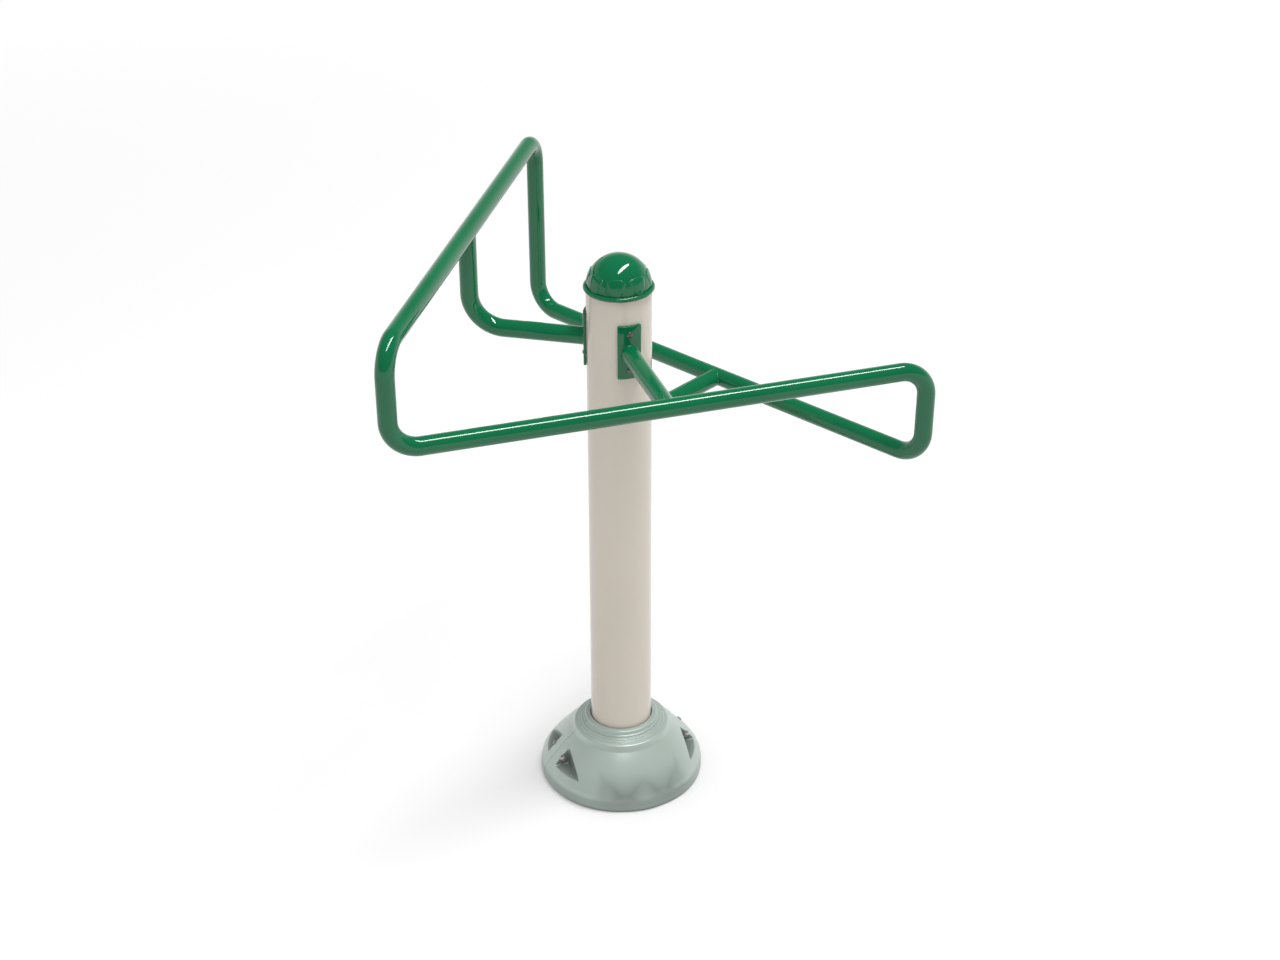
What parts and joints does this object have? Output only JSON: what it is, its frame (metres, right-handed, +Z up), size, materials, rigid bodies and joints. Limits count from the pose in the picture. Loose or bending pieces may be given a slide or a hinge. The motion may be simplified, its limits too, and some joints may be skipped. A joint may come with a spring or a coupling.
{
  "type": "double stretching post",
  "caption": "Outdoor gym post with a closed loop of bent tube whose sides lie at stepped heights, for resting and stretching legs or arms from all round.",
  "frame": {"origin": "on the post's axis, at the underside of the base flange", "axes": "+Z up along the post, X along the middle bar of the loop, which lies on the -Y side"},
  "size_m": [1.173, 1.0211, 1.3597],
  "materials": {
    "green_coat": "glossy green powder coat on steel",
    "beige_coat": "satin warm beige powder coat on steel",
    "cover_grey": "satin grey-green paint on cast aluminium",
    "galvanised_steel": "matte galvanised steel",
    "zinc_fastener": "zinc-plated steel",
    "weld_metal": "plain weld bead"
  },
  "bodies": {
    "root": {"post_tube": "beige_coat", "base_flange": "galvanised_steel", "post_foot_weld": "weld_metal", "base_gusset_1": "galvanised_steel", "base_gusset_2": "galvanised_steel", "base_gusset_3": "galvanised_steel", "base_gusset_4": "galvanised_steel", "dome_cap": "green_coat", "mid_bar": "green_coat", "low_bar": "green_coat", "high_bar": "green_coat", "front_arm": "green_coat", "front_arm_plate_weld": "green_coat", "front_arm_bar_weld": "green_coat", "front_arm_plate": "green_coat", "plate_bolt_front_upper": "zinc_fastener", "rivet_nut_front_upper": "zinc_fastener", "plate_bolt_front_lower": "zinc_fastener", "rivet_nut_front_lower": "zinc_fastener", "left_arm": "green_coat", "left_arm_plate_weld": "green_coat", "left_arm_bar_weld": "green_coat", "left_arm_plate": "green_coat", "plate_bolt_left_upper": "zinc_fastener", "rivet_nut_left_upper": "zinc_fastener", "plate_bolt_left_lower": "zinc_fastener", "rivet_nut_left_lower": "zinc_fastener", "right_arm": "green_coat", "right_arm_plate_weld": "green_coat", "right_arm_bar_weld": "green_coat", "right_arm_plate": "green_coat", "plate_bolt_right_upper": "zinc_fastener", "rivet_nut_right_upper": "zinc_fastener", "plate_bolt_right_lower": "zinc_fastener", "rivet_nut_right_lower": "zinc_fastener", "base_cover_front": "cover_grey", "base_cover_rear": "cover_grey", "cover_bolt_left": "zinc_fastener", "cover_nut_left": "zinc_fastener", "cover_washer_left_front": "zinc_fastener", "cover_washer_left_rear": "zinc_fastener", "cover_bolt_right": "zinc_fastener", "cover_nut_right": "zinc_fastener", "cover_washer_right_front": "zinc_fastener", "cover_washer_right_rear": "zinc_fastener"}
  },
  "joints": []
}
